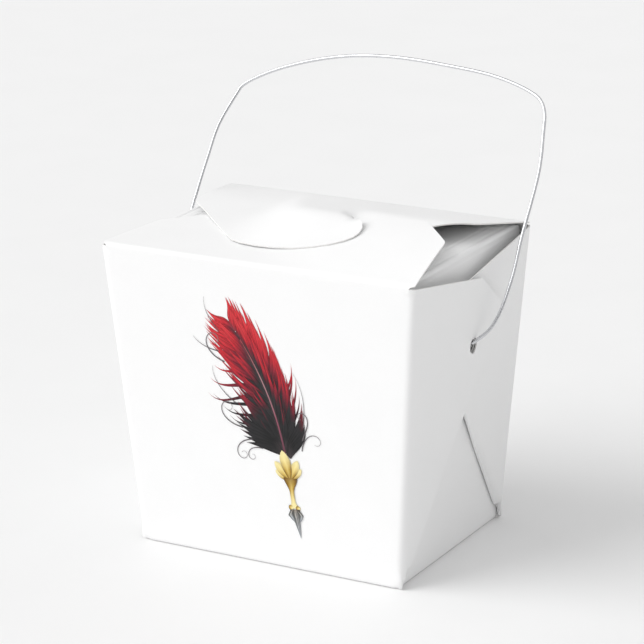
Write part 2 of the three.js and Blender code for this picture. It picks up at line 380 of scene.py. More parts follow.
def board_material(name, white, dip, fibre, roughness):
    """Coated or bare board: slow clouding, fine fibres, and a slight tooth."""
    n = Nodes(name)
    at = n.coords("UV")
    stretched = n.coords("UV", (1.0, 3.2, 1.0))
    cloud = n.noise(at, 7.0, 4.0, 0.55)
    fibres = n.noise(stretched, 120.0, 5.0, 0.7, 0.6)
    specks = n.noise(at, 420.0, 2.0, 0.5)
    tone = n.ramp(n.ranged(cloud, 0.0, 1.0), [(0.0, tuple(c - dip for c in white)), (1.0, white)])
    fibre_tone = n.ramp(fibres, [(0.35, (0.72, 0.72, 0.73)), (0.6, (1.0, 1.0, 1.0))])
    tone = n.mix(fibre, tone, fibre_tone, "MULTIPLY")
    speck_tone = n.ramp(specks, [(0.3, (0.8, 0.8, 0.8)), (0.5, (1.0, 1.0, 1.0))])
    tone = n.mix(fibre * 0.5, tone, speck_tone, "MULTIPLY")
    rough = n.ranged(n.math("ADD", n.math("MULTIPLY", cloud, 0.5), n.math("MULTIPLY", fibres, 0.5)),
                     roughness - 0.05, roughness + 0.06)
    n.bump([(fibres, 0.00002, 0.35), (specks, 0.00001, 0.3), (cloud, 0.0001, 0.12)])
    return n.surface(tone, rough, Specular_IOR_Level=0.35)


def edge_material():
    """The cut edge of board: pressed layers of pulp between two coatings."""
    n = Nodes("board_cut_edge")
    at = n.coords("Object", (1, 1, 1))
    pulp = n.noise(at, 2600.0, 4.0, 0.7)
    slow = n.noise(at, 160.0, 2.0)
    tone = n.ramp(pulp, [(0.3, (0.80, 0.79, 0.77)), (0.7, (0.93, 0.925, 0.915))])
    tone = n.mix(n.ranged(slow, 0.0, 0.12), tone, (0.74, 0.73, 0.71))
    n.bump([(pulp, 0.00005, 0.5)])
    return n.surface(tone, n.ranged(pulp, 0.8, 0.95), Specular_IOR_Level=0.2)


def wire_material():
    """Bright drawn steel: fine lines run along it, with slow dull patches."""
    n = Nodes("drawn_steel_wire")
    lines = n.noise(n.coords("UV", (3.0, 60.0, 1.0)), 10.0, 3.0, 0.6)
    patches = n.noise(n.coords("UV", (1.0, 0.3, 1.0)), 22.0, 3.0)
    tone = n.ramp(lines, [(0.3, (0.60, 0.61, 0.63)), (0.7, (0.76, 0.765, 0.78))])
    tone = n.mix(n.ranged(patches, 0.0, 0.3), tone, (0.55, 0.56, 0.585))
    n.bump([(lines, 0.00001, 0.2)])
    return n.surface(tone, n.ranged(patches, 0.2, 0.34), Metallic=1.0)


coated = board_material("coated_board", (0.945, 0.945, 0.945), 0.012, 0.05, 0.5)
bare = board_material("inner_board", (0.915, 0.915, 0.912), 0.02, 0.12, 0.72)
cut_edge = edge_material()
board = [coated, bare, cut_edge]
steel = wire_material()


# ---- the folded carton --------------------------------------------------------------------
FOLD_SLOPE = FLARE_Y + FOLD_REACH            # how fast a web's folded edge leaves its wall
FOLD_NORM = math.hypot(1, FOLD_SLOPE)
FOLD_RADIUS = LAYER / 2
LIP = 1.2                                    # base board that belongs to a side's fold
SIDE_FOOT = side_x(HALF) - HALF              # the side's middle line at the base
BASE_EDGE = SIDE_FOOT - LIP
FOOT_Y = wall_y(HALF) - HALF
SHARED = [30.2 * i / 12 for i in range(13)]  # where the sides' folds join the base
SIDE_RIM = SIDE_TOP - 1.7                    # where a side's sheet ends and its dust flap's begins
HOLE_POINTS = 28
# creases round a handle hole: direction in degrees, length, height
PUCKERS = ((62, 7, 0.22), (118, 6, -0.2), (90, 9, 0.16), (-70, 5, 0.12), (-115, 5, -0.12))


def fold_over(d, z):
    """Folds a web back on itself: its place in the web's plane, and its depth behind the outer leaf."""
    past = (d - FOLD_SLOPE * z) / FOLD_NORM
    turn = np.clip(past / FOLD_RADIUS, 0, math.pi)
    shift = np.where(past <= 0, past, np.where(turn < math.pi, FOLD_RADIUS * np.sin(turn),
                                               -(past - math.pi * FOLD_RADIUS)))
    depth = np.where(past <= 0, 0.0, FOLD_RADIUS * (1 - np.cos(turn)))
    d2 = d + (shift - past) / FOLD_NORM
    z2 = z - (shift - past) * FOLD_SLOPE / FOLD_NORM
    return d2, z2, depth


def puckers(y, z):
    """Small creases in a web round its handle hole, where the wire pulls on it."""
    out = np.zeros_like(y)
    for angle, length, size in PUCKERS:
        c, s = math.cos(math.radians(angle)), math.sin(math.radians(angle))
        run = y * c + (z - HOLE_RISE) * s
        off = -y * s + (z - HOLE_RISE) * c
        out = out + size * np.exp(-(off / (0.45 + 0.08 * np.abs(run))) ** 2) * smoothstep(1.4, 2.4, run) * (
            1 - smoothstep(length * 0.5, length, run))
    return out + 0.18 * hump(np.hypot(y / HOLE_A, (z - HOLE_RISE) / HOLE_B), 1.15, 0.35)


def wall_bow(x, z):
    """How far a wide wall bulges, most at its middle."""
    return 0.22 * hump(z, 0.5 * WALL_H, 30) * np.clip(1 - (x / (edge_x(z) - 2)) ** 2, 0, 1)


def carton_place(end, lean):
    """Half of the base, a wide wall and its two webs. u runs along the wall, v up it."""
    def place(u, v):
        s = np.where(u < 0, -1.0, 1.0)
        run = np.abs(u)
        z = np.maximum(v, 0) + HALF
        d = run - (edge_x(z) - HALF)
        web_d, web_z, depth = fold_over(d + HALF, z)
        on_web = (d > 0) & (v > 0)
        rise = np.where(on_web, web_z, z)
        dd = np.where(on_web, web_d - HALF, d)
        depth = np.where(on_web, depth, 0.0)
        reach = np.minimum(2.3, 0.1 + 0.33 * rise)
        bow = wall_bow(run, rise)
        corner_x, corner_y = edge_x(rise) - HALF, wall_y(rise) - HALF
        x, y = bend(dd, reach, (-1.0, 0.0), (0.0, -1.0), (corner_x, corner_y))
        flat_web = smoothstep(0, 3, dd)
        y_world = end * y
        slack = 0.16 * ripple(dd, rise, 11 if end < 0 else 23) * smoothstep(4, 16, dd)
        lift = 0.35 * smoothstep(55, WALL_H, rise) * smoothstep(8, 40, dd) if end < 0 else 0.0
        dent = puckers(y_world, rise)
        crest = (d + HALF - FOLD_SLOPE * z) / FOLD_NORM
        back = np.maximum(-crest, 0)
        puff = 0.0
        if end > 0:
            puff = 0.95 * (1 - np.exp(-back / 0.7)) * np.exp(-back / 5) - 0.25 * hump(crest, 0.5, 1.4)
            puff = puff * (1 - smoothstep(28, 38, z)) * smoothstep(1, 9, z)
        x = x + flat_web * (lean * dd + slack + lift + dent + puff) - depth * smoothstep(0, 1.5, rise)
        y = y + bow * (v > 0)
        by, bz = bend(v, 0.9, (-1.0, 0.0), (FLARE_Y, 1.0), (0.0, 0.0))
        y = y + by - FLARE_Y * np.maximum(v, 0)
        zz = rise + bz - np.maximum(v, 0)
        return s * x, end * y, zz
    return place


def web_point(d, z, folded=False):
    """A web's point, from its distance to the wall's face and its height when folded, in the flat pattern."""
    if folded:
        past = (d - FOLD_SLOPE * z) / FOLD_NORM
        move = -2 * past + math.pi * FOLD_RADIUS
        d, z = d + move / FOLD_NORM, z - move * FOLD_SLOPE / FOLD_NORM
    return (edge_x(z) - PAPER + d, z - HALF)


def hole_in_web(folded, end):
    """The handle hole's outline in the web's flat pattern."""
    points = []
    for i in range(HOLE_POINTS):
        a = 2 * math.pi * i / HOLE_POINTS
        y, z = HOLE_SHIFT + HOLE_A * math.cos(a), HOLE_RISE - HOLE_DROP + HOLE_B * math.sin(a)
        points.append(web_point(wall_y(z) + end * y, z, folded))
    return points


def carton_chart(end, lean):
    """Half of the carton laid flat, with rows of points along its corners, folds and foot."""
    shoulder = 38.9
    top = WALL_H - 0.3
    strip = [(BASE_EDGE, y - FOOT_Y) for y in SHARED]
    right = strip + [
        (BASE_X - 0.75, -0.5), (BASE_X - 0.15, 0.4),
        web_point(1.8, 4.2, True), web_point(1.8, 87.5, True), web_point(36, 81.2, True),
        web_point(FOLD_SLOPE * WEB_TIP - 2.4, WEB_TIP + 0.2, True),
        web_point(FOLD_SLOPE * WEB_TIP + math.pi * FOLD_RADIUS / 2, WEB_TIP - 0.3),
        web_point(FOLD_SLOPE * WEB_TIP - 1.4, WEB_TIP + 0.9), web_point(shoulder + 0.8, top - 7.6),
        web_point(shoulder - 0.6, top - 6.8), web_point(2.6, top - 0.2), web_point(0.2, top),
        (MOUTH_X - 1.6, WALL_H - 0.45), (MOUTH_X - 2.35, WALL_H - 0.5), (MOUTH_X - 2.45, WALL_H - 1.7),
    ]
    rows = []
    for side in (-1, 1):
        zs = np.arange(3.0, WALL_H - 2.4, 3.0)
        for d in np.linspace(-2.3, 2.3, 9):
            rows.append([(side * (edge_x(z) - HALF + d), z) for z in zs])
        for p in [-3.4, -2.4, -1.7, -1.2, -0.8, -0.5, *np.linspace(-0.12, math.pi * FOLD_RADIUS + 0.12, 10)]:
            row = []
            for z in np.arange(6.0, WEB_TIP - 1.2, 2.6):
                d, zz = FOLD_SLOPE * z + p / FOLD_NORM, z - p * FOLD_SLOPE / FOLD_NORM
                row.append((side * (edge_x(zz) - PAPER + d), zz - HALF))
            rows.append(row)
    for v in np.linspace(-0.9, 0.9, 7):
        rows.append([(x, v) for x in np.linspace(-40, 40, 33)])
    holes = []
    for folded in (False, True):
        outline = hole_in_web(folded, end)
        holes += [outline, [(-u, v) for u, v in outline]]
    return Chart(carton_place(end, lean), -end, mirrored(right) + right, holes, rows)


def side_place(side):
    """A narrow wall with its fold into the base. u is y, v runs up the wall."""
    def place(u, v):
        x, z = bend(v, 0.85, (-1.0, 0.0), (FLARE_SIDE, 1.0), (SIDE_FOOT, HALF))
        x = x + 0.25 * smoothstep(4, 20, v) * (1 - smoothstep(70, 86, v)) * ripple(u, v, 7)
        return side * x, u, z
    return place


def side_chart(side):
    rim_y = wall_y(SIDE_RIM) - 1.25
    foot = [(y, -LIP) for y in [-y for y in reversed(SHARED[1:])] + SHARED]
    outline = foot + [(FOOT_Y - 0.5, 0.4), (rim_y, SIDE_RIM - HALF), (-rim_y, SIDE_RIM - HALF),
                      (-FOOT_Y + 0.5, 0.4)]
    hole = [(HOLE_SHIFT + HOLE_A * math.cos(a), HOLE_RISE - HOLE_DROP - HALF + HOLE_B * math.sin(a))
            for a in np.linspace(0, 2 * math.pi, HOLE_POINTS, endpoint=False)]
    rows = [[(y, v) for y in np.linspace(-29, 29, 25)] for v in np.linspace(-0.85, 0.85, 7)]
    return Chart(side_place(side), side, outline, [hole], rows)


carton = sheet(
    "carton_board",
    [carton_chart(-1, WEB_TILT), carton_chart(1, -WEB_TILT), side_chart(1), side_chart(-1)],
    board,
)
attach(carton, "carton")
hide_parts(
    "bottom_panel", "front_panel", "back_panel", "left_panel", "right_panel",
    *[f"{end}_{side}_web_{leaf}" for end in ("front", "back") for side in ("left", "right")
      for leaf in ("outer", "inner")],
)


# ---- lid flaps ----------------------------------------------------------------------------
CREASE_Z = WALL_H + 0.5          # the lid's middle line at its creases
CREASE_Y = wall_y(CREASE_Z) - HALF
DOWN = 2.0                       # how far a flap's board reaches down its wall
LID_BEND = 0.95                  # how far a lid crease's bend reaches, each way
LID_SCORE = 0.05                 # depth of the scored lines beside it
FRONT_LENGTH = 37.5


def front_lift(x, v):
    """How far the closed front flap stands above the creases."""
    slope = 0.13 + 0.105 * np.tanh((x - 6) / 15)
    return slope * v * (1 - 0.2 * (v / FRONT_LENGTH) ** 2)


def back_lift(x, v):
    """The same for the back flap. Its left part and tongue lie over the front flap, and its right
    shoulder is tucked under that flap's free edge."""
    rear = (0.191 + 0.00163 * smooth_min(x, 12.0, 16.0)) * v
    over_front = front_lift(x, LID_REACH - v) + 0.46
    tongue = smooth_max(7.0 - 0.27 * (v - 40) + 0.01 * x, over_front, 0.6)
    resting = over_front + 0.4 * (1 - smoothstep(-40, -18, x))
    tongue = resting + (tongue - resting) * smoothstep(-24, 4, x)
    over = smooth_min(rear, tongue, 1.6) - 0.5 * hump(x, 10.5, 8) * hump(v, 35, 7)
    edge_v = LID_REACH - FRONT_LENGTH
    tucked = front_lift(x, np.full_like(v, FRONT_LENGTH)) - 0.5 - 0.13 * (v - edge_v)
    under = smooth_min(rear, tucked, 1.2)
    slit = 9.6 + 0.95 * np.maximum(v - 34.4, 0)
    width = np.maximum(0.3, (35.2 - v) * 1.6)
    share = smoothstep(-0.5, 0.5, (x - slit) / width)
    share = np.where(v > 39.5, 0.0, share)
    return over * (1 - share) + under * share


def lid_place(end, lift):
    """A lid flap, from its strip on the wall, round the crease and up by lift."""
    def place(u, v):
        flap = np.maximum(v, 0)
        rise = lift(u, np.maximum(v, LID_BEND))
        rise = np.where(flap < LID_BEND, rise * flap / LID_BEND, rise)
        y, z = bend(v, LID_BEND, (-FLARE_Y, -1.0), (-1.0, 0.0), (CREASE_Y, CREASE_Z))
        groove = LID_SCORE * (hump(v, 2.1, 0.35) + hump(v, -1.3, 0.3))
        wave = 0.1 * ripple(u, v, 31 if end < 0 else 47) * smoothstep(3, 12, v)
        return u * np.ones_like(v), end * y, z + rise * smoothstep(0, LID_BEND, v) - groove * (v > 0) + wave
    return place


LID_ROOT = [(48.35, -DOWN), (48.6, -0.5), (49.2, 0.1), (50.1, 0.6)]
front_side = LID_ROOT + [(46.7, 24.6), (46.1, 26.0), (35.2, 37.0), (34.0, 37.5)]
front_outline = mirrored(LID_ROOT[:1]) + front_side + mirrored(front_side[1:])
back_outline = mirrored(LID_ROOT[:1]) + LID_ROOT + [
    (46.8, 26.0), (46.2, 27.6), (37.0, 36.8), (35.5, 37.6), (13.6, 38.2), (12.6, 37.6), (9.6, 34.4),
    (10.6, 34.9), (14.6, 38.6), (18.2, 42.4), (19.6, 45.0), (20.2, 48.0), (19.8, 50.8), (18.2, 53.4),
    (15.2, 56.0), (11.0, 58.2), (5.6, 59.8), (-0.6, 60.4), (-6.8, 60.1), (-12.0, 59.0), (-16.0, 57.2),
    (-46.2, 27.6), (-46.8, 26.0),
] + mirrored(LID_ROOT[1:])
lid_rows = [[(x, v) for x in np.linspace(-48.0, 48.0, 37)] for v in np.linspace(-LID_BEND, LID_BEND, 9)]
front_chart = Chart(lid_place(-1, front_lift), 1, front_outline, rows=lid_rows, edge_step=1.6)
back_chart = Chart(lid_place(1, back_lift), -1, back_outline, rows=lid_rows, step=2.2, edge_step=1.2)
front_lid = sheet("front_lid", [front_chart], board)
back_lid = sheet("back_lid", [back_chart], board)
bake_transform(front_lid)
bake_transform(back_lid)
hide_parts("front_lid_flap")
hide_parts("back_lid_flap")


# ---- dust flaps ---------------------------------------------------------------------------
DUST_Z = SIDE_TOP + 0.5
DUST_X = side_x(DUST_Z) - HALF
DUST_DOWN = DUST_Z - SIDE_RIM


def dust_place(side):
    """A dust flap. The right one arches a little, and the left one sinks away under the lid."""
    def place(u, v):
        crest = (1.2 if side > 0 else -0.3) * np.clip(1 - np.abs(u / 34.5) ** 5, 0, 1)
        x, z = bend(v, 0.9, (-FLARE_SIDE, -1.0), (-1.0, 0.0), (DUST_X, DUST_Z))
        fall = (0.05 if side > 0 else 0.12) * np.maximum(v - 4.8, 0) + 0.0011 * np.maximum(v - 6, 0) ** 2
        groove = 0.2 * (hump(v, 1.6, 0.4) + hump(v, 4.8, 0.4))
        wave = 0.14 * ripple(u, v, 5) * smoothstep(4, 12, v)
        z = z + crest * np.clip((v + 0.4) / 5.2, 0, 1) - fall - groove * smoothstep(0, 1.2, v) + wave
        return side * (x - 0.14 * hump(v, -1.0, 0.3)), u, z
    return place


dust_outline = [
    (-wall_y(88) + 1.25, -DUST_DOWN), (wall_y(88) - 1.25, -DUST_DOWN), (34.3, -0.2), (33.6, 1.6), (32.4, 5.0),
    (22.4, 27.6), (19.0, 30.0), (-19.0, 30.0), (-22.4, 27.6), (-32.4, 5.0), (-33.6, 1.6), (-34.3, -0.2),
]
dust_rows = [[(y, v) for y in np.linspace(-32.5, 32.5, 27)] for v in np.linspace(-0.9, 5.9, 24)]
for label, side in (("right", 1), ("left", -1)):
    flap = sheet(f"{label}_dust_board", [Chart(dust_place(side), side, dust_outline, rows=dust_rows)], board)
    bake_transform(flap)
    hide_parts(f"{label}_dust_flap")


# ---- wire handle --------------------------------------------------------------------------
WIRE_R = 0.5
LEAN = math.radians(36)          # how far the handle leans back
REACH = 83.5                     # hole axis to the crown, in the handle's own plane
LEG_X = MOUTH_X + 4.1
HOOK_X = side_x(HOLE_RISE) - PAPER - 2.4
# each bend from its leg to its crown: inset from the leg, drop from the crown
RIGHT_BEND = [(0, 30), (1.9, 18.5), (3.3, 12.2), (5.7, 8.5), (10, 6.1), (21.9, 2.7), (37.9, 0.9)]
LEFT_BEND = [(2.0, 38.5), (2.4, 27.5), (5.4, 16.6), (6.3, 14.3), (12.7, 9.7), (25.4, 4.4), (39.9, 1)]


def leg(bends, shift=0.0):
    """Half of the handle as (x, reach), from the hook in the box to its bend. shift bows its foot in."""
    hook = [(HOOK_X, -5.0), (HOOK_X, -2.4), (HOOK_X + 0.5, -0.7), (HOOK_X + 2.4, 0.0)]
    rise = [(LEG_X - 5.6 - 0.2 * shift, 0.3), (LEG_X - 3.9 - 0.7 * shift, 1.9),
            (LEG_X - 1.7 - 1.3 * shift, 4.6), (LEG_X - 0.2 - 1.9 * shift, 8.6),
            (LEG_X + 0.6 - 2.6 * shift, 14.5),
            (LEG_X + 0.9 - 3.2 * shift, 22.8), (LEG_X + 0.4 - 2.4 * shift, 32.0)]
    return hook + rise + [(LEG_X - inset, REACH - drop) for inset, drop in bends]


def smooth_path(points, steps):
    """A centripetal Catmull-Rom curve through points, in even steps."""
    p = np.array(points, float)
    p = np.vstack([2 * p[0] - p[1], p, 2 * p[-1] - p[-2]])
    out = []
    for i in range(1, len(p) - 2):
        a, b, c, d = p[i - 1:i + 3]
        t = np.cumsum([0, *[np.linalg.norm(q - r) ** 0.5 for q, r in ((b, a), (c, b), (d, c))]])
        for s in np.linspace(t[1], t[2], 24, endpoint=False):
            ab = (t[1] - s) / (t[1] - t[0]) * a + (s - t[0]) / (t[1] - t[0]) * b
            bc = (t[2] - s) / (t[2] - t[1]) * b + (s - t[1]) / (t[2] - t[1]) * c
            cd = (t[3] - s) / (t[3] - t[2]) * c + (s - t[2]) / (t[3] - t[2]) * d
            abc = (t[2] - s) / (t[2] - t[0]) * ab + (s - t[0]) / (t[2] - t[0]) * bc
            bcd = (t[3] - s) / (t[3] - t[1]) * bc + (s - t[1]) / (t[3] - t[1]) * cd
            out.append((t[2] - s) / (t[2] - t[1]) * abc + (s - t[1]) / (t[2] - t[1]) * bcd)
    out.append(p[-2])
    out = np.array(out)
    length = np.concatenate([[0], np.cumsum(np.linalg.norm(np.diff(out, axis=0), axis=1))])
    at = np.linspace(0, length[-1], steps)
    return np.stack([np.interp(at, length, out[:, k]) for k in range(3)], 1), length[-1]


def tube(name, path, length, radius, sides, material):
    """A round wire along path, with its two cut ends slightly domed."""
    tangent = np.gradient(path, axis=0)
    tangent /= np.linalg.norm(tangent, axis=1)[:, None]
    side = np.cross(tangent[0], [0, 1, 0])
    rings, texture = [], []
    for i, (p, t) in enumerate(zip(path, tangent)):
        side = side - t * (side @ t)
        side /= np.linalg.norm(side)
        other = np.cross(t, side)
        angle = np.linspace(0, 2 * math.pi, sides, endpoint=False)
        rings.append(p + radius * (np.cos(angle)[:, None] * side + np.sin(angle)[:, None] * other))
    first, last = rings[0], rings[-1]
    caps = [path[0] - tangent[0] * 0.1, path[-1] + tangent[-1] * 0.1]
    rings = [caps[0] + (first - path[0]) * 0.72, *rings, caps[1] + (last - path[-1]) * 0.72]
    verts = [*np.concatenate(rings), caps[0], caps[1]]
    faces, uv = [], []
    n = len(rings)
    for i in range(n - 1):
        for k in range(sides):
            j = (k + 1) % sides
            faces.append((i * sides + k, i * sides + j, (i + 1) * sides + j, (i + 1) * sides + k))
            a, b = length * i / n / 10, length * (i + 1) / n / 10
            uv += [(a, k / sides), (a, (k + 1) / sides), (b, (k + 1) / sides), (b, k / sides)]
    for k in range(sides):
        j = (k + 1) % sides
        faces.append((j, k, n * sides))
        faces.append(((n - 1) * sides + k, (n - 1) * sides + j, n * sides + 1))
        uv += [(0, 0), (0, 0.1), (0.1, 0)] * 2
    mesh = bpy.data.meshes.new(name)
    mesh.from_pydata([tuple(v * MM) for v in verts], [], faces)
    layer = mesh.uv_layers.new(name="flat")
    layer.data.foreach_set("uv", np.array(uv, np.float32).ravel())
    mesh.polygons.foreach_set("use_smooth", [True] * len(faces))
    mesh.materials.append(material)
    obj = bpy.data.objects.new(name, mesh)
    bpy.context.collection.objects.link(obj)
    return obj


route = [(-x, r) for x, r in leg(LEFT_BEND, 1.0)] + [(0.0, REACH)] + list(reversed(leg(RIGHT_BEND)))
route = [(x, r * math.sin(LEAN), HOLE_RISE + r * math.cos(LEAN)) for x, r in route]
path, length = smooth_path(route, 420)
handle = tube("bail_wire", path, length, WIRE_R, 16, steel)
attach(handle, "handle")
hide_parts("wire_handle")


# ---- printed quill ------------------------------------------------------------------------
# A quill pen, laid just proud of the front wall as flat ink. Its place, parts and colours follow the
# print on the real box, and its strokes are drawn here. Points are (x, z) on that wall.
PROUD = 0.035                    # the first stroke above the wall
OVER = 0.0009                    # each stroke above the one before it


class Print:
    def __init__(self):
        self.verts, self.faces, self.uv, self.slots, self.count = [], [], [], [], 0

    def stroke(self, line, widths, slot):
        """A ribbon along line. Its texture runs 0 to 1 along it, and across it from the stroke's number."""
        line, widths = np.array(line, float), np.array(widths, float)
        tangent = np.gradient(line, axis=0)
        tangent /= np.maximum(np.linalg.norm(tangent, axis=1), 1e-9)[:, None]
        across = np.stack([-tangent[:, 1], tangent[:, 0]], 1)
        off = PROUD + OVER * self.count
        self.count += 1
        first, n = len(self.verts), len(line)
        for i in range(n):
            for k in (-0.5, 0.0, 0.5):
                x, z = line[i] + across[i] * widths[i] * k
                self.verts.append((x * MM, -(wall_y(z) + wall_bow(x, z) + off) * MM, z * MM))
        for i in range(n - 1):
            for k in range(2):
                a = first + 3 * i + k
                self.faces.append((a + 1, a, a + 3, a + 4))
                t0, t1 = i / (n - 1), (i + 1) / (n - 1)
                c0, c1 = self.count + 0.1 + 0.4 * k, self.count + 0.5 + 0.4 * k
                self.uv += [(t0, c1), (t0, c0), (t1, c0), (t1, c1)]
                self.slots.append(slot)

    def build(self, name, materials):
        mesh = bpy.data.meshes.new(name)
        mesh.from_pydata(self.verts, [], self.faces)
        layer = mesh.uv_layers.new(name="flat")
        layer.data.foreach_set("uv", np.array(self.uv, np.float32).ravel())
        mesh.polygons.foreach_set("material_index", self.slots)
        for m in materials:
            mesh.materials.append(m)
        obj = bpy.data.objects.new(name, mesh)
        bpy.context.collection.objects.link(obj)
        return obj


def bezier(a, b, c, d, n):
    t = np.linspace(0, 1, n)[:, None]
    a, b, c, d = (np.array(p, float) for p in (a, b, c, d))
    return (1 - t) ** 3 * a + 3 * t * (1 - t) ** 2 * b + 3 * t * t * (1 - t) * c + t ** 3 * d


def tendril(start, heading, length, turn, wind, n):
    """A thin curl: it starts with one turning rate, in degrees a millimetre, and winds up as it goes."""
    t = np.linspace(0, 1, n)
    angle = np.radians(heading + turn * length * t + wind * t ** 3)
    step = length / (n - 1)
    return np.array(start) + np.stack([np.cumsum(np.cos(angle)), np.cumsum(np.sin(angle))], 1) * step


def leaf_width(n, size, peak=0.35, foot=0.25):
    """A ribbon's width: from foot at its root, widest at peak, down to a point."""
    t = np.linspace(0, 1, n)
    rise = foot + (1 - foot) * np.sin(np.clip(t / peak, 0, 1) * math.pi / 2)
    return size * rise * (1 - smoothstep(peak, 1.0, t)) ** 0.7


SHAFT_STEPS = 100
BARB_POINTS = 16
CURL_POINTS = 44
RACHIS = ((7.6, 35.0), (5.6, 46.5), (2.4, 58.0), (-9.6, 74.0))
rachis = bezier(*RACHIS, n=SHAFT_STEPS + 1)
rachis_dir = np.gradient(rachis, axis=0)
rachis_dir /= np.linalg.norm(rachis_dir, axis=1)[:, None]
INK_FEATHER, INK_GOLD, INK_STEEL, INK_LINE, INK_SHAFT = range(5)
quill = Print()
chance = np.random.default_rng(20)


def leaf(a, b, c, d, width):
    """A curved, pointed ribbon of feather."""
    quill.stroke(bezier(a, b, c, d, BARB_POINTS), leaf_width(BARB_POINTS, width), INK_FEATHER)


def barb(s, side, spread, ahead, width, sweep=1.0):
    """One barb: it leaves the shaft at s, runs forward by ahead and ends spread away from the shaft."""
    i = int(np.clip(s, 0, 1) * SHAFT_STEPS)
    j = int(np.clip(s + ahead, 0, 1) * SHAFT_STEPS)
    root, run = rachis[i], rachis_dir[i]
    end_dir = rachis_dir[j]
    normal = np.array([-end_dir[1], end_dir[0]]) * side
    beyond = max(0, s + ahead - 1) * 16
    tip = rachis[j] + normal * spread + end_dir * beyond
    size = np.linalg.norm(tip - root)
    own = np.array([-run[1], run[0]]) * side
    a = root + (run * 0.42 + own * 0.16) * size
    b = tip - (end_dir * 0.36 * sweep + normal * 0.10) * size
    leaf(root, a, b, tip, width)


# long loose barbs behind, then the vane from the tip down to the gold, then short barbs by the shaft
for s, side, spread, ahead, width in (
    (0.30, 1, 17.5, 0.34, 1.1), (0.40, 1, 19.0, 0.26, 1.0), (0.48, 1, 16.0, 0.28, 1.2),
    (0.22, 1, 16.0, 0.30, 1.0), (0.14, 1, 15.0, 0.28, 0.9), (0.60, 1, 12.5, 0.22, 1.1),
    (0.72, 1, 10.0, 0.24, 0.9), (0.10, -1, 11.0, 0.46, 1.0), (0.20, -1, 11.0, 0.42, 1.1),
    (0.28, -1, 11.5, 0.36, 1.0), (0.05, -1, 10.0, 0.40, 0.9), (0.82, 1, 6.0, 0.24, 0.8),
    (0.78, -1, 5.5, 0.20, 0.8),
):
    barb(s, side, spread, ahead, width)
for i in range(36):
    s = 0.95 - 0.0265 * i
    for side in (1, -1):
        room = min(1, (1.04 - s) / 0.5) ** 0.8
        full = (10.2 if side > 0 else 8.0) * (0.30 + 0.70 * room)
        spread = full * chance.uniform(0.8, 1.06)
        ahead = 0.36 + 0.08 * (1 - s) + chance.uniform(-0.03, 0.03)
        barb(s, side, spread, ahead, (2.5 if side > 0 else 2.3) * chance.uniform(0.75, 1.1), 1.5)
for i in range(22):
    s = 0.84 - 0.038 * i
    for side in (1, -1):
        full = (5.0 if side > 0 else 3.8) * chance.uniform(0.7, 1.15)
        spread = full * (0.5 + 0.5 * min(1, (1.02 - s) / 0.4))
        barb(s, side, spread, 0.32 + 0.05 * chance.uniform(-1, 1), 1.5, 1.4)
# the black barbs that fan out over the gold, to the left and the right
for k in range(6):
    t = k / 5
    root = (6.9 + 0.5 * t, 35.4 - 0.6 * t)
    tip = (-9.4 + 4.2 * t + chance.uniform(-0.5, 0.5), 46.8 - 9.8 * t)
    leaf(root, (3.6, 39.8 - 2.6 * t), (-2.4 + t, 41.6 - 4.4 * t), tip, 3.3 - 1.2 * t)
for k in range(5):
    t = k / 4
    root = (8.2 + 0.9 * t, 35.2 - 0.8 * t)
    tip = (13.6 + 0.9 * t, 52.0 - 8.2 * t)
    leaf(root, (9.2 + t, 40 - 1.5 * t), (13.4 + t, 43 - 3 * t), tip, 2.5 - 0.6 * t)
# fine loose strands
for start, heading, size, turn, wind, width in (
    ((-10.5, 60.5), 168, 17, -5.2, -250, 0.42), ((-5.5, 41.5), 176, 17, -4.0, -300, 0.40),
    ((-2.6, 38.4), 188, 15, 5.5, 330, 0.36), ((0.6, 36.0), 172, 11, 6.5, 300, 0.34),
    ((13.3, 40.2), 74, 13, -3.5, 330, 0.46), ((13.0, 37.0), 82, 13, -5.0, -240, 0.34),
    ((13.6, 44.0), 78, 17, 1.9, 20, 0.24), ((-7.6, 48.5), 150, 13, -2.6, -30, 0.30),
    ((-12.0, 69.5), 140, 11, -3.6, -20, 0.26), ((-12.6, 63.5), 176, 9, -3.0, -20, 0.34),
):
    curl = tendril(start, heading, size, turn, wind, CURL_POINTS)
    quill.stroke(curl, width * (1 - 0.75 * np.linspace(0, 1, CURL_POINTS)), INK_LINE)
quill.stroke(rachis[:88], 0.62 - 0.5 * np.linspace(0, 1, 88), INK_SHAFT)
# gold: a fan of petals, a waisted stem and its two beads
HUB = np.array([8.75, 27.2])
PETAL_POINTS = 18
for angle, size, width in ((148, 5.6, 2.2), (50, 5.8, 2.2), (131, 7.4, 2.7), (69, 7.4, 2.7), (104, 9.6, 3.3)):
    c, s = math.cos(math.radians(angle)), math.sin(math.radians(angle))
    tip = HUB + np.array([c, s]) * size
    t = np.linspace(0, 1, PETAL_POINTS)
    shape = width * np.sin(np.clip(t, 0, 1) ** 1.5 * math.pi) ** 0.75 + 0.25 * (1 - t)
    a, b = HUB + np.array([0.45 * c, s]) * size * 0.3, tip - np.array([c, s]) * size * 0.35
    quill.stroke(bezier(HUB, a, b, tip, PETAL_POINTS), shape, INK_GOLD)
t = np.linspace(0, 1, 26)
stem = bezier((8.75, 28.4), (8.9, 25.5), (9.1, 22.5), (9.65, 19.2), 26)
quill.stroke(stem, 4.5 - 3.1 * smoothstep(0, 0.5, t) + 1.5 * smoothstep(0.8, 1.0, t), INK_GOLD)
for side in (-1, 1):
    x = 9.62 + 1.15 * side
    bead = bezier((x - 0.75, 19.5), (x - 0.3, 19.45), (x + 0.3, 19.3), (x + 0.75, 19.2), 12)
    round_off = np.sqrt(np.clip(1 - (2 * np.linspace(0, 1, 12) - 1) ** 2, 0, 1))
    quill.stroke(bead, 1.5 * round_off, INK_GOLD)
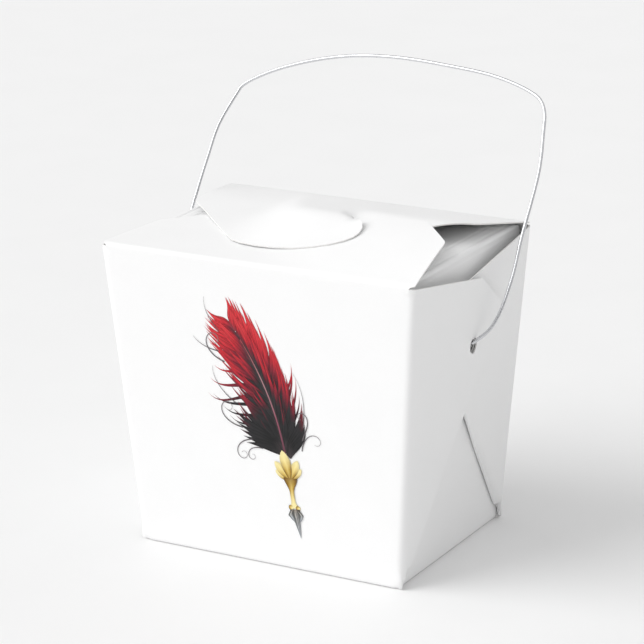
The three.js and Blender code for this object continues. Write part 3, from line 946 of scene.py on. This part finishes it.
# steel: the nib, a barb on each side of it, and the line of its slit
nib = bezier((9.7, 18.9), (9.9, 17.5), (10.6, 14), (11.35, 10.1), 14)
quill.stroke(nib, 3.3 * np.clip(1.08 * (1 - np.linspace(0, 1, 14)), 0, 1) ** 0.9, INK_STEEL)
left_barb = [(9.0, 18.8), (8.5, 17.9), (8.2, 17.0), (8.9, 16.0), (9.5, 15.0)]
right_barb = [(10.6, 18.6), (11.3, 17.9), (11.8, 17.2), (11.6, 16.2), (11.3, 15.2)]
quill.stroke(left_barb, [0.5, 1.0, 1.5, 0.9, 0.1], INK_STEEL)
quill.stroke(right_barb, [0.5, 1.0, 1.3, 0.8, 0.1], INK_STEEL)
quill.stroke([(9.95, 18.3), (10.3, 16.2), (10.7, 14.0), (11.1, 11.9)], [0.12, 0.22, 0.18, 0.05], INK_LINE)


def feather_ink():
    """Red at the feather's top and its barbs' tips, running to black, with fine streaks and dark rims."""
    n = Nodes("ink_feather")
    place = n.add("ShaderNodeTexCoord")
    split = n.add("ShaderNodeSeparateXYZ")
    n.link(place.outputs["Object"], split.inputs[0])
    flat = n.add("ShaderNodeSeparateXYZ")
    n.link(place.outputs["UV"], flat.inputs[0])
    number = n.math("FLOOR", flat.outputs["Y"], 0.0)
    across = n.math("FRACT", flat.outputs["Y"], 0.0)
    white = n.add("ShaderNodeTexWhiteNoise", noise_dimensions="1D")
    n.link(number, white.inputs["W"])
    height = n.ranged(split.outputs["Z"], 0.0, 1.0, 0.034, 0.076)
    height = n.math("ADD", height, n.math("MULTIPLY", n.math("SUBTRACT", flat.outputs["X"], 0.62), 0.62))
    height = n.math("ADD", height, n.math("MULTIPLY", n.math("SUBTRACT", white.outputs["Value"], 0.5), 0.22))
    tone = n.ramp(height, [(0.0, (0.011, 0.011, 0.012)), (0.30, (0.020, 0.019, 0.021)),
                           (0.42, (0.075, 0.012, 0.02)), (0.56, (0.24, 0.014, 0.03)),
                           (0.74, (0.52, 0.018, 0.03)), (1.0, (0.68, 0.04, 0.05))])
    streak = n.noise(n.coords("UV", (1.6, 9.0, 1.0)), 2.4, 4.0, 0.65)
    streak_tone = n.ramp(streak, [(0.32, (0.42, 0.42, 0.45)), (0.5, (1.0, 1.0, 1.0)),
                                  (0.68, (1.7, 1.6, 1.6))])
    tone = n.mix(1.0, tone, streak_tone, "MULTIPLY")
    rim = n.math("MULTIPLY", n.math("SUBTRACT", across, 0.5), n.math("SUBTRACT", across, 0.5))
    tone = n.mix(1.0, tone, n.ramp(rim, [(0.055, (1.0, 1.0, 1.0)), (0.15, (0.35, 0.33, 0.35))]), "MULTIPLY")
    near_root = n.math("MULTIPLY", streak, n.math("SUBTRACT", 1.0, flat.outputs["X"]))
    sheen = n.ranged(near_root, 0.0, 0.16, 0.36, 0.62)
    tone = n.mix(sheen, tone, (0.42, 0.30, 0.32))
    n.bump([(streak, 0.00001, 0.3)])
    return n.surface(tone, n.ranged(streak, 0.34, 0.5), Specular_IOR_Level=0.3)


def metal_ink(name, stops, bright):
    """A printed metal: bands across each stroke, with a drift along it."""
    n = Nodes(name)
    flat = n.add("ShaderNodeSeparateXYZ")
    n.link(n.add("ShaderNodeTexCoord").outputs["UV"], flat.inputs[0])
    across = n.math("FRACT", flat.outputs["Y"], 0.0)
    drift = n.noise(n.coords("UV", (2.0, 1.0, 1.0)), 3.0, 3.0)
    at = n.math("ADD", across, n.math("MULTIPLY", n.math("SUBTRACT", drift, 0.5), 0.25))
    tone = n.ramp(at, stops)
    tone = n.mix(n.ranged(flat.outputs["X"], 0.0, 0.8, 0.35, 0.85), tone, bright)
    root_tone = n.ramp(flat.outputs["X"], [(0.0, (0.34, 0.27, 0.2)), (0.45, (0.85, 0.82, 0.75)),
                                           (0.7, (1.0, 1.0, 1.0))])
    tone = n.mix(1.0, tone, root_tone, "MULTIPLY")
    return n.surface(tone, n.ranged(drift, 0.3, 0.42), Specular_IOR_Level=0.4)


def line_ink():
    """Thin dark strands, paler towards their ends."""
    n = Nodes("ink_line")
    flat = n.add("ShaderNodeSeparateXYZ")
    n.link(n.add("ShaderNodeTexCoord").outputs["UV"], flat.inputs[0])
    worn = n.noise(n.coords("UV", (30.0, 4.0, 1.0)), 1.5, 3.0)
    tone = n.ramp(flat.outputs["X"], [(0.0, (0.05, 0.04, 0.045)), (0.6, (0.14, 0.12, 0.13)),
                                      (1.0, (0.34, 0.31, 0.32))])
    tone = n.mix(n.ranged(worn, 0.0, 0.4), tone, (0.3, 0.28, 0.29))
    return n.surface(tone, n.ranged(worn, 0.4, 0.55), Specular_IOR_Level=0.3)


def shaft_ink():
    """The feather's shaft, dark at its root and paler further up."""
    n = Nodes("ink_shaft")
    flat = n.add("ShaderNodeSeparateXYZ")
    n.link(n.add("ShaderNodeTexCoord").outputs["UV"], flat.inputs[0])
    grain = n.noise(n.coords("UV", (40.0, 6.0, 1.0)), 2.0, 3.0)
    tone = n.ramp(flat.outputs["X"], [(0.0, (0.10, 0.03, 0.05)), (0.35, (0.30, 0.09, 0.13)),
                                      (0.7, (0.55, 0.30, 0.32)), (1.0, (0.6, 0.08, 0.08))])
    tone = n.mix(n.ranged(grain, 0.0, 0.3), tone, (0.16, 0.05, 0.07))
    return n.surface(tone, n.ranged(grain, 0.35, 0.5), Specular_IOR_Level=0.3)


gold = metal_ink(
    "ink_gold",
    [(0.08, (0.16, 0.075, 0.008)), (0.28, (0.62, 0.38, 0.04)), (0.5, (0.93, 0.73, 0.22)),
     (0.7, (0.72, 0.47, 0.06)), (0.93, (0.20, 0.10, 0.012))],
    (0.95, 0.86, 0.45),
)
nib_steel = metal_ink(
    "ink_steel",
    [(0.1, (0.05, 0.055, 0.06)), (0.34, (0.16, 0.17, 0.18)), (0.5, (0.78, 0.80, 0.82)),
     (0.62, (0.34, 0.36, 0.38)), (0.9, (0.07, 0.075, 0.08))],
    (0.30, 0.32, 0.34),
)
print_piece = quill.build("quill_print", [feather_ink(), gold, nib_steel, line_ink(), shaft_ink()])
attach(print_piece, "carton")


# ---- floor, light and camera --------------------------------------------------------------
def plane(name, half_size, z, material):
    mesh = bpy.data.meshes.new(name)
    mesh.from_pydata([(-half_size, -half_size, z), (half_size, -half_size, z), (half_size, half_size, z),
                      (-half_size, half_size, z)], [], [(0, 1, 2, 3)])
    mesh.materials.append(material)
    obj = bpy.data.objects.new(name, mesh)
    bpy.context.collection.objects.link(obj)
    return obj


floor_nodes = Nodes("studio_floor")
floor_grain = floor_nodes.noise(floor_nodes.coords("Object"), 30.0, 3.0)
floor_tone = floor_nodes.ramp(floor_grain, [(0.3, (0.872, 0.872, 0.872)), (0.7, (0.880, 0.880, 0.880))])
floor_rough = floor_nodes.ranged(floor_grain, 0.85, 0.95)
floor_material = floor_nodes.surface(floor_tone, floor_rough, Specular_IOR_Level=0.1)
floor = plane("floor", 20.0, -0.00002, floor_material)

scene = bpy.context.scene
scene.view_settings.view_transform = "Standard"
scene.view_settings.look = "None"
scene.view_settings.exposure = 0.0
scene.view_settings.gamma = 1.0

world = bpy.data.worlds.new("studio")
scene.world = world
world.use_nodes = True
background = world.node_tree.nodes["Background"]
background.inputs["Color"].default_value = (1.0, 1.0, 1.0, 1)
background.inputs["Strength"].default_value = 0.385


def add_sun(name, energy, spread, azimuth, height):
    """A soft light. azimuth turns it to the left of the front and height is above the floor, in degrees."""
    data = bpy.data.lights.new(name, "SUN")
    data.energy = energy
    data.angle = math.radians(spread)
    obj = bpy.data.objects.new(name, data)
    a, h = math.radians(azimuth), math.radians(height)
    towards = Vector((-math.sin(a) * math.cos(h), -math.cos(a) * math.cos(h), math.sin(h)))
    obj.rotation_euler = towards.to_track_quat("Z", "Y").to_euler()
    bpy.context.collection.objects.link(obj)


add_sun("key", 0.72, 120, 50, 30)
add_sun("key_core", 1.78, 52, 50, 36)
add_sun("rim", 0.66, 90, -118, 60)


def look_from(azimuth, elevation, roll, distance, shift_x, shift_y, centre_z):
    """A camera matrix: the direction it looks from, its distance, and its shift off the point at centre_z."""
    a, e, r = (math.radians(x) for x in (azimuth, elevation, roll))
    back = Vector((math.sin(a) * math.cos(e), -math.cos(a) * math.cos(e), math.sin(e)))
    right = (-back).cross(Vector((0, 0, 1))).normalized()
    up = right.cross(-back)
    right, up = math.cos(r) * right + math.sin(r) * up, -math.sin(r) * right + math.cos(r) * up
    place = back * distance + right * shift_x + up * shift_y + Vector((0, 0, centre_z))
    matrix = Matrix((right, up, back)).transposed().to_4x4()
    matrix.translation = place * MM
    return matrix


camera_data = bpy.data.cameras.new("camera")
camera_data.sensor_width = 36.0
camera_data.lens = 164.2
camera_data.clip_start = 0.01
camera_data.clip_end = 100.0
camera = bpy.data.objects.new("camera", camera_data)
camera.matrix_world = look_from(azimuth=29.792, elevation=17.650, roll=-1.076, distance=853.67,
                                shift_x=0.468, shift_y=16.961, centre_z=46.0)
bpy.context.collection.objects.link(camera)
scene.camera = camera
